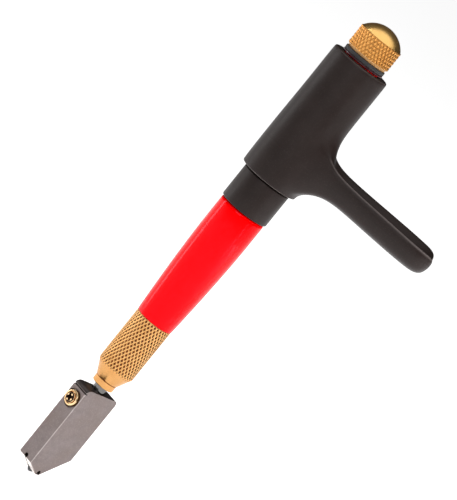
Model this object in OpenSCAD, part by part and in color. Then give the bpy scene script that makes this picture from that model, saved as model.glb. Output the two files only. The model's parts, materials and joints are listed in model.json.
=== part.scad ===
// Oil-fed glass cutter with a swivel head and a T-shaped saddle grip.
// The origin is where the tool's axis meets the glass, +Z runs up the axis to the filler cap,
// and +X runs along the saddle's arm.

/* [Head] */
// Width of the block head, across the screw
head_w = 14.5; // [13:0.5:16]
// Thickness of the block head between its two ruler faces
head_t = 6.2; // [6:0.1:7]
// Height of the head's top face above the glass
head_top = 31.8; // [31:0.1:32.4]
// Turn of the head about the tool's axis when it is at rest
head_yaw = -128; // [-180:1:180]
// Height of the head screw's axis above the glass
screw_z = 26.5; // [25.5:0.1:27]

/* [Cutting wheel] */
// Radius of the cutting wheel
wheel_r = 2; // [1.9:0.05:2.1]
// Thickness of the cutting wheel
wheel_t = 1.1; // [1:0.05:1.15]
// Distance of the wheel's axle from the tool's axis, across the head
wheel_u = 1.3; // [1:0.1:1.6]
// Radius of the wheel's axle
axle_r = 0.5; // [0.45:0.05:0.6]

/* [Stem] */
// Radius of the steel stem
stem_r = 2.15; // [2.1:0.05:2.2]
// Travel of the stem when the head is pressed on the glass
press_travel = 0.8; // [0.4:0.1:1]

/* [Nose] */
// Height of the nose's lower end above the glass
nose_z = 33.8; // [33.6:0.1:34.4]
// Radius over the nose's knurl
nose_r = 6; // [5.9:0.1:6.1]
// Height of the joint between nose and barrel
barrel_z = 58.6; // [58:0.1:60]

/* [Barrel] */
// Largest radius of the red barrel
barrel_r = 7.55; // [7.3:0.05:7.7]
// Radius of the barrel at its joint with the nose
barrel_low_r = 6.1; // [6:0.05:6.4]
// Height of the barrel's shoulder, where the sleeve starts
shoulder_z = 100.4; // [98:0.1:102]
// Radius of the barrel's tube inside the sleeve
tube_r = 6; // [5.9:0.05:6.1]

/* [Saddle] */
// Outer radius of the saddle's collar
collar_r = 9.4; // [9.2:0.1:9.8]
// Height of the collar's lower end
collar_z = 111.75; // [111.7:0.05:112]
// Height of the collar's upper end
collar_top = 154.8; // [154:0.1:154.8]
// Reach of the arm from the tool's axis
arm_reach = 51.7; // [45:0.1:58]
// Width of the arm near its end
arm_w = 20; // [18:0.5:22]
// Height of the arm's rims above the glass, measured at the collar
rim_z = 126.2; // [125:0.1:127]
// Depth of the arm from rim to underside
arm_h = 7.2; // [7:0.1:8]
// Depth of the trough along the arm
trough_h = 3.9; // [3:0.1:4.2]

/* [Cap] */
// Radius over the cap's knurl
cap_r = 7.1; // [6.9:0.05:7.3]
// Height of the dome's top, which is the length of the tool
cap_top = 167.6; // [167:0.1:169]

/* [Hidden] */
$fn = 96;
EPS = 0.01;
// radial clearance between turning pieces
fit = 0.05;

// head
tip_z = 1.1;
tip_flat = [0.6, 2.3];
bevel_screw_z = 4;
bevel_back_z = 9.05;
head_round = 0.9;
slot_w = wheel_t + 3 * fit;
slot_roof = 5.2;
axle_recess = 0.35;
socket_z = 20.5;
channel_r = 0.8;

// head screw
screw_head_r = 2.5;
screw_head_h = 1.8;
screw_proud = 0.9;
screw_shank_r = 1.5;
screw_tip_r = 0.8;
screw_tip_u = 1.7;
screw_pocket_r = 2.9;
recess_l = 3;
recess_w = 0.65;

// stem
stem_bottom = socket_z + 0.1;
stem_flat_u = 1.4;
stem_neck_r = 2;
stem_neck_h = 2.4;
neck_z = screw_z - stem_neck_h / 2;
stem_bore_top = 42.8;
flange_r = 3.2;
flange_h = 1.2;
guide_r = 1.6;

// nose and valve chamber
nose_tip_r = 3.6;
nose_cone_z = nose_z + 2.1;
nose_knurl_z = nose_z + 6.6;
spigot_r = 4.9;
spigot_top = barrel_z + 9.4;
chamber_r = 3.5;
seat_z = 43.2;
seal_h = 0.8;
flange_z = seat_z + seal_h;
plug_r = 3.9;
plug_z = 53;
plug_h = 3;
// the stem's guide stays inside the plug when the head is pressed
guide_top = plug_z + plug_h - press_travel - 0.2;
seal_wire = 0.4;

// valve spring
wire_r = 0.3;
coil_r = 2.6;
coil_turns = 5;
coil_low = flange_z + flange_h + 0.3;

// barrel, sleeve and top ring
reservoir_r = 4.4;
reservoir_top = 146;
ring_bore_r = 5;
tube_top = 155;
flare_h = 33.4;
flare_bend = 1.6;
flare_steps = 14;
foot_r = 7.9;
foot_z = shoulder_z + 0.1;
foot_top = 111.45;
sleeve_r = 7;
sleeve_top = 152.4;
groove_z = 133;
groove_h = 0.9;
groove_r = 6.34;
ring_wire = 0.35;
top_ring_z = 155;
top_ring_top = 155.5;
top_ring_r = 6.95;
stud_bore_r = 4;

// saddle
saddle_bore_r = sleeve_r + fit;
lip_z = 152.7;
lip_r = tube_r + 0.3;
parting_z = 122.4;
parting_r = collar_r + 0.25;
root_w = 15.5;
end_round = 7.5;
trough_r = 9;
trough_x0 = collar_r + 13;
trough_x1 = arm_reach - 11;
under_r = 12.5;
arm_droop = 1.6;
top_fillet = 8;
under_fillet = 6.5;

// gasket and cap
gasket_r = 6.9;
cap_z = 156.8;
stud_h = 6.5;
cap_chamfer = 0.9;
cap_dome_z = 163.9;
cap_dome_r = 8.2;
dome_steps = 10;

// Points along an arc from angle a0 to a1.
function arc(c, r, a0, a1, n = 6) =
    [for (i = [0:n]) let (a = a0 + (a1 - a0) * i / n) [c[0] + r * cos(a), c[1] + r * sin(a)]];

// Radius of the barrel's flared outside at height z.
function flare(z) = let (t = max(0, (barrel_z + flare_h - z) / flare_h))
    barrel_r - (barrel_r - barrel_low_r) * pow(t, flare_bend);

// A tube or disc between two heights.
module ring(z0, z1, r_out, r_in) {
    difference() {
        translate([0, 0, z0]) cylinder(h = z1 - z0, r = r_out);
        translate([0, 0, z0 - 1]) cylinder(h = z1 - z0 + 2, r = r_in);
    }
}

// A rubber ring of round section.
module o_ring(z, r_mid, wire) {
    translate([0, 0, z]) rotate_extrude() translate([r_mid, 0]) circle(r = wire, $fn = 32);
}

// A rectangle with round corners, as exact circles and squares.
module round_rect(w, h, r) {
    square([w - 2 * r, h], center = true);
    square([w, h - 2 * r], center = true);
    for (sx = [-1, 1], sy = [-1, 1])
        translate([sx * (w / 2 - r), sy * (h / 2 - r)]) circle(r = r, $fn = 32);
}

// Puts children drawn in the head's own frame, X across the head, where the head rests.
module head_place() {
    rotate([0, 0, head_yaw]) children();
}

// A cylinder along the head's X axis.
module across(z, u0, u1, r) {
    translate([u0, 0, z]) rotate([0, 90, 0]) cylinder(h = u1 - u0, r = r);
}

module barrel() {
    outside = concat(
        arc([barrel_low_r - 0.35, barrel_z + 0.4], 0.4, -90, -10, 4),
        [for (i = [1:flare_steps]) let (z = barrel_z + flare_h * i / flare_steps) [flare(z), z]],
        arc([barrel_r - 0.6, shoulder_z - 0.6], 0.6, 0, 90, 5),
        [[tube_r, shoulder_z], [tube_r, tube_top], [0, tube_top], [0, barrel_z]]);
    color("red") difference() {
        rotate_extrude() polygon(outside);
        translate([0, 0, barrel_z - 1]) cylinder(h = spigot_top - barrel_z + 1, r = spigot_r);
        translate([0, 0, barrel_z - 1]) cylinder(h = 1 + 2 * seal_wire, r = spigot_r + 2 * seal_wire);
        translate([0, 0, spigot_top - EPS]) cylinder(h = reservoir_top - spigot_top + 1, r = reservoir_r);
        translate([0, 0, reservoir_top]) cylinder(h = tube_top - reservoir_top + 1, r = ring_bore_r);
    }
}

module sleeve() {
    foot = concat(
        [[tube_r, foot_z]],
        arc([foot_r - 0.5, foot_z + 0.5], 0.5, -90, 0, 5),
        arc([foot_r - 0.4, foot_top - 0.4], 0.4, 0, 90, 4),
        [[sleeve_r, foot_top], [sleeve_r, groove_z], [groove_r, groove_z],
         [groove_r, groove_z + groove_h], [sleeve_r, groove_z + groove_h],
         [sleeve_r, sleeve_top], [tube_r, sleeve_top]]);
    color("dimgray") rotate_extrude() polygon(foot);
}

module nose() {
    outside = [[0, nose_z], [nose_tip_r - 0.3, nose_z], [nose_tip_r, nose_z + 0.3],
        [nose_tip_r, nose_cone_z], [nose_r - 0.5, nose_knurl_z - 0.9], [nose_r, nose_knurl_z],
        [nose_r, barrel_z - 0.3], [nose_r - 0.3, barrel_z], [spigot_r, barrel_z],
        [spigot_r, spigot_top], [0, spigot_top]];
    color("goldenrod") difference() {
        rotate_extrude() polygon(outside);
        translate([0, 0, nose_z - 1]) cylinder(h = seat_z - nose_z + 2, r = stem_r + fit);
        translate([0, 0, seat_z - 1.7]) cylinder(h = 2, r = stem_r + 0.35);
        translate([0, 0, seat_z]) cylinder(h = plug_z - seat_z + 1, r = chamber_r);
        translate([0, 0, plug_z]) cylinder(h = spigot_top - plug_z + 1, r = plug_r);
    }
}

module nose_seal() {
    color("black") o_ring(barrel_z + seal_wire, spigot_r + seal_wire, seal_wire);
}

// Threaded stop above the spring: a guide hole for the stem and three oil holes around it.
module spring_plug() {
    color("goldenrod") difference() {
        ring(plug_z, plug_z + plug_h, plug_r, guide_r + 0.3);
        for (a = [0, 120, 240])
            rotate([0, 0, a]) translate([2.9, 0, plug_z - 1]) cylinder(h = plug_h + 2, r = 0.5, $fn = 24);
    }
}

module top_ring() {
    color("darkred") difference() {
        union() {
            translate([0, 0, reservoir_top + 1]) cylinder(h = top_ring_z - reservoir_top - 1, r = ring_bore_r);
            translate([0, 0, top_ring_z]) cylinder(h = top_ring_top - top_ring_z, r = top_ring_r);
        }
        translate([0, 0, reservoir_top]) cylinder(h = 12, r = stud_bore_r);
    }
}

module saddle_ring() {
    color("black") o_ring(groove_z + groove_h / 2, groove_r + ring_wire, ring_wire);
}

// The collar's outside: a slight draft each way from the parting line, then a true cylinder.
module collar() {
    rotate_extrude() polygon(concat(
        [[0, collar_z], [collar_r - 0.9, collar_z]],
        arc([collar_r - 0.9, collar_z + 0.8], 0.8, -60, 0, 4),
        [[parting_r, parting_z], [collar_r, parting_z + 13]],
        arc([collar_r - 0.7, collar_top - 0.7], 0.7, 0, 90, 5),
        [[0, collar_top]]));
}

// The arm's outline seen from above.
module arm_plan() {
    half = arm_w / 2;
    polygon(concat(
        [[0, -root_w / 2], [collar_r + 5, -root_w / 2]],
        arc([arm_reach - end_round, -half + end_round], end_round, -90, 0, 8),
        arc([arm_reach - end_round, half - end_round], end_round, 0, 90, 8),
        [[collar_r + 5, root_w / 2], [0, root_w / 2]]));
}

// The arm's outline seen from the side, with its fillets into the collar.
module arm_side() {
    low = rim_z - arm_h;
    polygon(concat(
        [[0, collar_z + 1.5], [collar_r - 0.6, collar_z + 1.5]],
        arc([collar_r + under_fillet + 0.6, low - under_fillet], under_fillet, 165, 90, 8),
        [[arm_reach + 1, low], [arm_reach + 1, rim_z]],
        arc([collar_r + top_fillet - 0.3, rim_z + top_fillet], top_fillet, 270, 185, 8),
        [[0, rim_z + top_fillet]]));
}

module saddle() {
    color("dimgray") difference() {
        union() {
            collar();
            translate([0, 0, rim_z]) rotate([0, arm_droop, 0]) translate([0, 0, -rim_z]) difference() {
                intersection() {
                    translate([0, 0, collar_z]) linear_extrude(height = 30) arm_plan();
                    rotate([90, 0, 0]) linear_extrude(height = arm_w + 2, center = true) arm_side();
                    union() {
                        translate([0, 0, rim_z - arm_h + under_r]) rotate([0, 90, 0])
                            cylinder(h = arm_reach + 2, r = under_r);
                        translate([0, -arm_w, rim_z - arm_h + under_r]) cube([70, 2 * arm_w, 20]);
                        translate([0, -root_w / 2, collar_z]) cube([collar_r + 2, root_w, 20]);
                    }
                }
                translate([trough_x0, 0, rim_z - trough_h + trough_r]) {
                    sphere(r = trough_r);
                    rotate([0, 90, 0]) cylinder(h = trough_x1 - trough_x0, r = trough_r);
                    translate([trough_x1 - trough_x0, 0, 0]) sphere(r = trough_r);
                }
            }
        }
        translate([0, 0, collar_z - 1]) cylinder(h = lip_z - collar_z + 1, r = saddle_bore_r);
        translate([0, 0, collar_z]) cylinder(h = collar_top - collar_z + 1, r = lip_r);
    }
}

module cap_gasket() {
    color("black") ring(top_ring_top, cap_z, gasket_r, stud_bore_r + 0.2);
}

module filler_cap() {
    rim = cap_r - cap_chamfer;
    // angle of the dome's edge, seen from the centre of its sphere
    centre_z = cap_top - cap_dome_r;
    edge = asin((cap_dome_z - centre_z) / cap_dome_r);
    color("goldenrod") rotate_extrude() polygon(concat(
        [[0, cap_z - stud_h], [stud_bore_r - fit - 0.4, cap_z - stud_h],
         [stud_bore_r - fit, cap_z - stud_h + 0.4], [stud_bore_r - fit, cap_z],
         [rim, cap_z], [cap_r, cap_z + cap_chamfer], [cap_r, cap_dome_z - 0.5]],
        [for (i = [0:dome_steps]) let (a = edge + (90 - edge) * i / dome_steps)
            [cap_dome_r * cos(a), centre_z + cap_dome_r * sin(a)]]));
}

module stem() {
    color("lightgray") difference() {
        union() {
            translate([0, 0, stem_bottom]) cylinder(h = neck_z - stem_bottom, r = stem_r);
            // the neck has a flat, which the head screw's tip reaches towards
            intersection() {
                translate([0, 0, neck_z - 1]) cylinder(h = stem_neck_h + 2, r = stem_neck_r);
                head_place() translate([stem_flat_u - 10, -5, neck_z - 1]) cube([10, 10, stem_neck_h + 2]);
            }
            translate([0, 0, neck_z + stem_neck_h]) cylinder(h = flange_z - neck_z - stem_neck_h + 0.1, r = stem_r);
            translate([0, 0, flange_z]) cylinder(h = flange_h, r = flange_r);
            translate([0, 0, flange_z]) cylinder(h = guide_top - flange_z, r = guide_r);
        }
        translate([0, 0, stem_bottom - 1]) cylinder(h = stem_bore_top - stem_bottom + 1, r = channel_r);
        translate([0, 0, stem_bore_top - 0.6]) rotate([0, 90, 0]) cylinder(h = 10, r = 0.45, center = true);
    }
}

module valve_seal() {
    color("black") ring(seat_z, flange_z, 3.1, stem_r);
}

module spring_washer() {
    color("goldenrod") ring(flange_z + flange_h, coil_low, 3.1, guide_r + fit);
}

// A round wire wound as a helix: rings of points joined by quads, with a lid at each end.
module valve_spring() {
    steps = coil_turns * 20;
    sides = 8;
    rise = plug_z - coil_low - 2 * wire_r;
    points = [for (i = [0:steps], k = [0:sides - 1])
        let (a = 360 * coil_turns * i / steps, b = 360 * k / sides, r = coil_r + wire_r * cos(b))
        [r * cos(a), r * sin(a), coil_low + wire_r + rise * i / steps + wire_r * sin(b)]];
    walls = [for (i = [0:steps - 1], k = [0:sides - 1]) let (j = (k + 1) % sides)
        [i * sides + k, (i + 1) * sides + k, (i + 1) * sides + j, i * sides + j]];
    color("silver") polyhedron(points, concat(walls,
        [[for (k = [0:sides - 1]) k], [for (k = [0:sides - 1]) (steps + 1) * sides - 1 - k]]));
}

module stem_wick() {
    color("ivory") translate([0, 0, stem_bottom]) cylinder(h = stem_bore_top - 1.2 - stem_bottom, r = channel_r);
}

module head_body() {
    half = head_w / 2;
    outline = concat(
        [[tip_flat[0], tip_z], [tip_flat[1], tip_z], [half, bevel_screw_z]],
        arc([half - head_round, head_top - head_round], head_round, 0, 90),
        arc([-half + head_round, head_top - head_round], head_round, 90, 180),
        [[-half, bevel_back_z]]);
    color("rosybrown") head_place() difference() {
        intersection() {
            rotate([90, 0, 0]) linear_extrude(height = head_t, center = true) polygon(outline);
            linear_extrude(height = head_top + 1) round_rect(head_w, head_t, 0.6);
        }
        // wheel slot, and the axle's hole right through
        translate([-head_w, -slot_w / 2, 0]) cube([2 * head_w, slot_w, slot_roof]);
        translate([wheel_u, 0, wheel_r]) rotate([90, 0, 0]) cylinder(h = head_t + 2, r = axle_r, center = true);
        // socket for the stem, and the oil channel down to the slot
        translate([0, 0, socket_z]) cylinder(h = head_top, r = stem_r + fit);
        translate([wheel_u, 0, slot_roof - 1]) cylinder(h = socket_z - slot_roof + 2, r = channel_r);
        // screw hole with its pocket
        across(screw_z, 0, half + 1, screw_shank_r + fit);
        across(screw_z, half - screw_head_h + screw_proud, half + 1, screw_pocket_r);
    }
}

module head_wick() {
    color("ivory") head_place() translate([wheel_u, 0, slot_roof])
        cylinder(h = socket_z - slot_roof, r = channel_r);
}

module head_screw() {
    seat = head_w / 2 - screw_head_h + screw_proud;
    face = seat + screw_head_h;
    color("gold") head_place() difference() {
        union() {
            across(screw_z, seat, face, screw_head_r);
            across(screw_z, stem_r + 0.6, seat + EPS, screw_shank_r);
            across(screw_z, screw_tip_u, stem_r + 1, screw_tip_r);
        }
        translate([face, 0, screw_z]) {
            cube([2, recess_w, recess_l], center = true);
            cube([2, recess_l, recess_w], center = true);
        }
    }
}

module wheel_axle() {
    color("silver") head_place() translate([wheel_u, 0, wheel_r]) rotate([90, 0, 0])
        cylinder(h = head_t - 2 * axle_recess, r = axle_r, center = true);
}

// The wheel's rim is ground to an edge from both sides.
module cutting_wheel() {
    bevel = 0.35;
    color("gray") head_place() translate([wheel_u, 0, wheel_r]) rotate([90, 0, 0])
        rotate_extrude() polygon([[axle_r + 0.6 * fit, -wheel_t / 2], [wheel_r - bevel, -wheel_t / 2],
            [wheel_r, 0], [wheel_r - bevel, wheel_t / 2], [axle_r + 0.6 * fit, wheel_t / 2]]);
}

barrel();
sleeve();
nose();
nose_seal();
spring_plug();
top_ring();
saddle_ring();
saddle();
cap_gasket();
filler_cap();
stem();
valve_seal();
spring_washer();
valve_spring();
stem_wick();
head_body();
head_wick();
head_screw();
wheel_axle();
cutting_wheel();
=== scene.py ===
# Looks for the glass cutter: knurled brass, red barrel, black saddle grip and a sintered steel head.
import json
import math

import bmesh
import bpy
from mathutils import Matrix, Vector


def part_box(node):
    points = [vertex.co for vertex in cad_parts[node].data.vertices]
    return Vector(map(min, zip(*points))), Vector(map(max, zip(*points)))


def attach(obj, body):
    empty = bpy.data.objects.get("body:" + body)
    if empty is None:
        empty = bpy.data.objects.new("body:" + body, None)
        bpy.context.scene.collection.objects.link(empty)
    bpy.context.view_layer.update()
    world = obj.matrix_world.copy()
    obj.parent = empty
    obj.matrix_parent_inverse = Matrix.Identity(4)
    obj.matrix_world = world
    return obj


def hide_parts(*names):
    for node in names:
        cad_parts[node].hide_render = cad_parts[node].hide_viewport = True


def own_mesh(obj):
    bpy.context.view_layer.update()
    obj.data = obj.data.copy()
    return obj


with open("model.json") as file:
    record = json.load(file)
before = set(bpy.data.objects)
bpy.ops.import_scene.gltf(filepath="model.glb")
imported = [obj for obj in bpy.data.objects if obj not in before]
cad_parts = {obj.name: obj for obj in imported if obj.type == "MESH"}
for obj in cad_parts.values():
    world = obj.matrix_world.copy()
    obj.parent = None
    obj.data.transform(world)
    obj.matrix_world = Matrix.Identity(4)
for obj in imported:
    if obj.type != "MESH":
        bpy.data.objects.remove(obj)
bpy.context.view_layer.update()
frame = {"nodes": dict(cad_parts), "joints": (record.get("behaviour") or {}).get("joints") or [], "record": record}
mm = 0.001
hair = 0.001  # in millimetres, for heights that ought to be equal
slack = 0.01  # and for picking out rows of corners by their height
joints = {joint["name"]: joint for joint in frame["joints"]}
mounts = {mount["name"]: mount for mount in frame["record"]["mounts"]}
print("frame loaded:", len(frame["nodes"]), "CAD nodes")

# the head's own frame: X runs across the head towards its screw, Y through its thickness
acrossHead = Vector(joints["head_screw_turn"]["axis"])
headTurn = Matrix.Rotation(math.atan2(acrossHead.y, acrossHead.x), 4, "Z")


def sizeOf(node, turn=Matrix.Identity(4)):
    # a CAD node's box in millimetres, seen in a frame turned about the tool's axis
    back = turn.inverted()
    points = [back @ v.co for v in frame["nodes"][node].data.vertices]
    low = Vector([min(p[i] for p in points) for i in range(3)]) / mm
    high = Vector([max(p[i] for p in points) for i in range(3)]) / mm
    return {"low": low, "high": high, "bottom": low.z, "top": high.z, "r": high.x, "wide": high.x - low.x}


def roundCorners(corners, steps=4):
    # corners are (across, up, radius); each radius becomes a short curve
    path = []
    count = len(corners)
    for i, (x, z, radius) in enumerate(corners):
        here = Vector((x, z))
        if radius == 0:
            path.append((x, z))
            continue
        before = Vector(corners[i - 1][:2]) - here
        after = Vector(corners[(i + 1) % count][:2]) - here
        before.normalize()
        after.normalize()
        reach = radius / math.tan(before.angle(after) / 2)
        start, end = here + before * reach, here + after * reach
        for k in range(steps + 1):
            t = k / steps
            point = start * (1 - t) ** 2 + here * 2 * t * (1 - t) + end * t ** 2
            path.append((point.x, point.y))
    return path


def splitLong(path, low, high, step):
    # adds rows between the heights low and high, for knurls and threads
    rows = [path[0]]
    for (x0, z0), (x1, z1) in zip(path, path[1:]):
        inside = min(z0, z1) >= low - hair and max(z0, z1) <= high + hair
        pieces = max(1, round(abs(z1 - z0) / step)) if inside else 1
        rows += [(x0 + (x1 - x0) * k / pieces, z0 + (z1 - z0) * k / pieces) for k in range(1, pieces + 1)]
    return rows


def spinPath(path, steps, closed=True):
    # turns an outline of (radius, height) about the tool's axis into a closed skin
    bm = bmesh.new()
    verts = [bm.verts.new((x * mm, 0, z * mm)) for x, z in path]
    edges = [bm.edges.new(pair) for pair in zip(verts, verts[1:])]
    if closed:
        edges.append(bm.edges.new((verts[-1], verts[0])))
    bmesh.ops.spin(bm, geom=verts + edges, cent=(0, 0, 0), axis=(0, 0, 1), dvec=(0, 0, 0),
                   angle=math.tau, steps=steps, use_merge=True, use_duplicate=False)
    bmesh.ops.remove_doubles(bm, verts=bm.verts, dist=hair * mm)
    bmesh.ops.recalc_face_normals(bm, faces=bm.faces)
    return bm


def sharpen(bm, degrees=32):
    limit = math.radians(degrees)
    for face in bm.faces:
        face.smooth = True
    for edge in bm.edges:
        edge.smooth = len(edge.link_faces) != 2 or edge.calc_face_angle(0) < limit


def finishPiece(bm, name, body, material, nodes=(), sharp=32):
    # puts a finished bmesh in the scene, on its body, in place of its CAD nodes
    sharpen(bm, sharp)
    mesh = bpy.data.meshes.new(name)
    bm.to_mesh(mesh)
    bm.free()
    piece = bpy.data.objects.new(name, mesh)
    bpy.context.scene.collection.objects.link(piece)
    mesh.materials.append(material)
    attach(piece, body)
    if nodes:
        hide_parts(*nodes)
    print("piece", name, len(mesh.polygons), "faces")
    return piece


def carve(bm, cutters):
    # cuts closed bmeshes out of another one
    made = []
    for i, source in enumerate([bm] + cutters):
        mesh = bpy.data.meshes.new("carve%d" % i)
        source.to_mesh(mesh)
        source.free()
        made.append(bpy.data.objects.new("carve%d" % i, mesh))
        bpy.context.scene.collection.objects.link(made[-1])
    for cutter in made[1:]:
        cut = made[0].modifiers.new("cut", "BOOLEAN")
        cut.operation = "DIFFERENCE"
        cut.solver = "EXACT"
        cut.object = cutter
    bpy.context.view_layer.update()
    shown = made[0].evaluated_get(bpy.context.evaluated_depsgraph_get())
    result = bmesh.new()
    result.from_mesh(shown.to_mesh())
    shown.to_mesh_clear()
    for item in made:
        mesh = item.data
        bpy.data.objects.remove(item)
        bpy.data.meshes.remove(mesh)
    return result


def rod(radius, low, high, steps=32, chamfer=0.0):
    # a plain closed cylinder between two heights, with a small chamfer at both ends
    path = [(0, low), (radius - chamfer, low), (radius, low + chamfer),
            (radius, high - chamfer), (radius - chamfer, high), (0, high)]
    if chamfer == 0:
        path = [(0, low), (radius, low), (radius, high), (0, high)]
    return spinPath(path, steps, closed=False)


def saw(value):
    # 0 in a groove, 1 on the ridge between two grooves
    return 1 - abs(2 * (value % 1) - 1)


def cutKnurl(bm, knurl, radius, low, high):
    # two crossed sets of helical grooves between two heights, leaving pits or round bumps
    inner = radius - 1.2  # the inside of the piece is left alone
    for vert in bm.verts:
        r, z = math.hypot(vert.co.x, vert.co.y) / mm, vert.co.z / mm
        if r < inner or z < low - slack or z > high + slack:
            continue
        turn = knurl["starts"] * math.atan2(vert.co.y, vert.co.x) / math.tau
        pair = saw(turn + z / knurl["pitch"]), saw(turn - z / knurl["pitch"])
        if knurl["pits"]:
            ridge = min(1, max(pair) * knurl["flat"])
        else:
            ridge = math.sin(pair[0] * math.pi / 2) * math.sin(pair[1] * math.pi / 2)
        cut = min(r, radius - knurl["depth"] * (1 - ridge))
        vert.co.x *= cut / r
        vert.co.y *= cut / r


def cutThread(bm, pitch, depth, radius, low, high):
    # one helical groove in a plain stud, fading out over a turn at both ends
    for vert in bm.verts:
        r, z = math.hypot(vert.co.x, vert.co.y) / mm, vert.co.z / mm
        if abs(r - radius) > 2 * slack or z < low - slack or z > high + slack:
            continue
        fade = min(1, (z - low) / pitch, (high - z) / pitch)
        ridge = saw(z / pitch - math.atan2(vert.co.y, vert.co.x) / math.tau)
        cut = radius - depth * (1 - ridge * max(0, fade))
        vert.co.x *= cut / r
        vert.co.y *= cut / r


def addNode(tree, kind, place, fixed=None, **values):
    # fixed gives its input sockets their even numbers
    item = tree.nodes.new(kind)
    item.location = place
    for key, value in values.items():
        setattr(item, key, value)
    for label, value in (fixed or {}).items():
        item.inputs[label].default_value = value
    return item


def splitPlace(tree, place, source="Object"):
    # the X, Y and Z of each point
    coords = addNode(tree, "ShaderNodeTexCoord", place)
    split = addNode(tree, "ShaderNodeSeparateXYZ", (place[0] + 200, place[1]))
    tree.links.new(coords.outputs[source], split.inputs[0])
    return split.outputs


# shader groups put out masks and heights only; the shaders stay in the materials
def newGroup(name, inputs, outputs):
    tree = bpy.data.node_groups.new(name, "ShaderNodeTree")
    for label, value in inputs.items():
        kind = "NodeSocketColor" if isinstance(value, tuple) else "NodeSocketFloat"
        tree.interface.new_socket(name=label, in_out="INPUT", socket_type=kind).default_value = value
    for label in outputs:
        tree.interface.new_socket(name=label, in_out="OUTPUT", socket_type="NodeSocketFloat")
    return tree, addNode(tree, "NodeGroupInput", (-900, 0)), addNode(tree, "NodeGroupOutput", (700, 0))


def mathNode(tree, operation, place, first, second=None, clamp=False):
    item = addNode(tree, "ShaderNodeMath", place, operation=operation, use_clamp=clamp)
    for i, value in enumerate([first, second]):
        if value is None:
            continue
        if isinstance(value, (int, float)):
            item.inputs[i].default_value = value
        else:
            tree.links.new(value, item.inputs[i])
    return item.outputs[0]


def buildMoldGrain():
    # fine spark-eroded grain of a moulded or sintered surface
    tree, inside, out = newGroup("moldGrain", {"Scale": 3000.0, "Specks": 0.5}, ["Height", "Speck"])
    coords = addNode(tree, "ShaderNodeTexCoord", (-900, -200))
    noise = addNode(tree, "ShaderNodeTexNoise", (-500, 100), {"Detail": 4, "Roughness": 0.65})
    cells = addNode(tree, "ShaderNodeTexVoronoi", (-500, -250))
    tree.links.new(coords.outputs["Object"], noise.inputs["Vector"])
    tree.links.new(coords.outputs["Object"], cells.inputs["Vector"])
    tree.links.new(inside.outputs["Scale"], noise.inputs["Scale"])
    half = mathNode(tree, "MULTIPLY", (-700, -250), inside.outputs["Scale"], 0.6)
    tree.links.new(half, cells.inputs["Scale"])
    dots = addNode(tree, "ShaderNodeMapRange", (-250, -250), {"From Min": 0.35, "From Max": 0.05})
    tree.links.new(cells.outputs["Distance"], dots.inputs["Value"])
    speck = mathNode(tree, "MULTIPLY", (0, -250), dots.outputs[0], inside.outputs["Specks"])
    tree.links.new(noise.outputs["Fac"], out.inputs["Height"])
    tree.links.new(speck, out.inputs["Speck"])
    return tree


def buildHandling():
    # patches where hands have polished or dulled the surface, from 0 to 1
    tree, inside, out = newGroup("handling", {"Scale": 60.0, "Cover": 0.5, "Soft": 0.2}, ["Mask"])
    coords = addNode(tree, "ShaderNodeTexCoord", (-900, -200))
    noise = addNode(tree, "ShaderNodeTexNoise", (-500, 0), {"Detail": 5, "Roughness": 0.6})
    tree.links.new(coords.outputs["Object"], noise.inputs["Vector"])
    tree.links.new(inside.outputs["Scale"], noise.inputs["Scale"])
    low = mathNode(tree, "SUBTRACT", (-500, -250), inside.outputs["Cover"], inside.outputs["Soft"])
    high = mathNode(tree, "ADD", (-500, -400), inside.outputs["Cover"], inside.outputs["Soft"])
    ramp = addNode(tree, "ShaderNodeMapRange", (-200, 0), interpolation_type="SMOOTHSTEP")
    tree.links.new(noise.outputs["Fac"], ramp.inputs["Value"])
    tree.links.new(low, ramp.inputs["From Min"])
    tree.links.new(high, ramp.inputs["From Max"])
    tree.links.new(ramp.outputs[0], out.inputs["Mask"])
    return tree


def buildGrooveShade():
    # painted shade in the grooves: 1 at the bottom of a knurl or thread, 0 on its crests, by distance from the
    # tool's axis
    tree, inside, out = newGroup("grooveShade", {"Radius": 0.006, "Depth": 0.0004}, ["Mask"])
    axes = splitPlace(tree, (-900, -200))
    flat = addNode(tree, "ShaderNodeCombineXYZ", (-500, -200))
    length = addNode(tree, "ShaderNodeVectorMath", (-300, -200), operation="LENGTH")
    tree.links.new(axes["X"], flat.inputs["X"])
    tree.links.new(axes["Y"], flat.inputs["Y"])
    tree.links.new(flat.outputs[0], length.inputs[0])
    below = mathNode(tree, "SUBTRACT", (-100, 0), inside.outputs["Radius"], length.outputs["Value"])
    share = mathNode(tree, "DIVIDE", (100, 0), below, inside.outputs["Depth"], clamp=True)
    tree.links.new(share, out.inputs["Mask"])
    return tree


def buildTurnedLines():
    # the fine rings that a lathe tool leaves along the axis
    tree, inside, out = newGroup("turnedLines", {"Spacing": 0.0001}, ["Height"])
    axes = splitPlace(tree, (-900, -200))
    rings = mathNode(tree, "DIVIDE", (-500, -200), axes["Z"], inside.outputs["Spacing"])
    line = addNode(tree, "ShaderNodeTexNoise", (-200, -200), {"Scale": 1, "Detail": 3}, noise_dimensions="1D")
    tree.links.new(rings, line.inputs["W"])
    tree.links.new(line.outputs["Fac"], out.inputs["Height"])
    return tree


moldGrain = buildMoldGrain()
handling = buildHandling()
grooveShade = buildGrooveShade()
turnedLines = buildTurnedLines()
print("shader groups built")


def newMaterial(name, **values):
    # a Principled material with its even values set straight on the shader's sockets
    material = bpy.data.materials.new(name)
    material.use_nodes = True
    shader = material.node_tree.nodes["Principled BSDF"]
    for label, value in values.items():
        shader.inputs[label.replace("_", " ")].default_value = value
    return material, material.node_tree, shader


def addGroup(tree, group, place, **values):
    return addNode(tree, "ShaderNodeGroup", place, values, node_tree=group)


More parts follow.
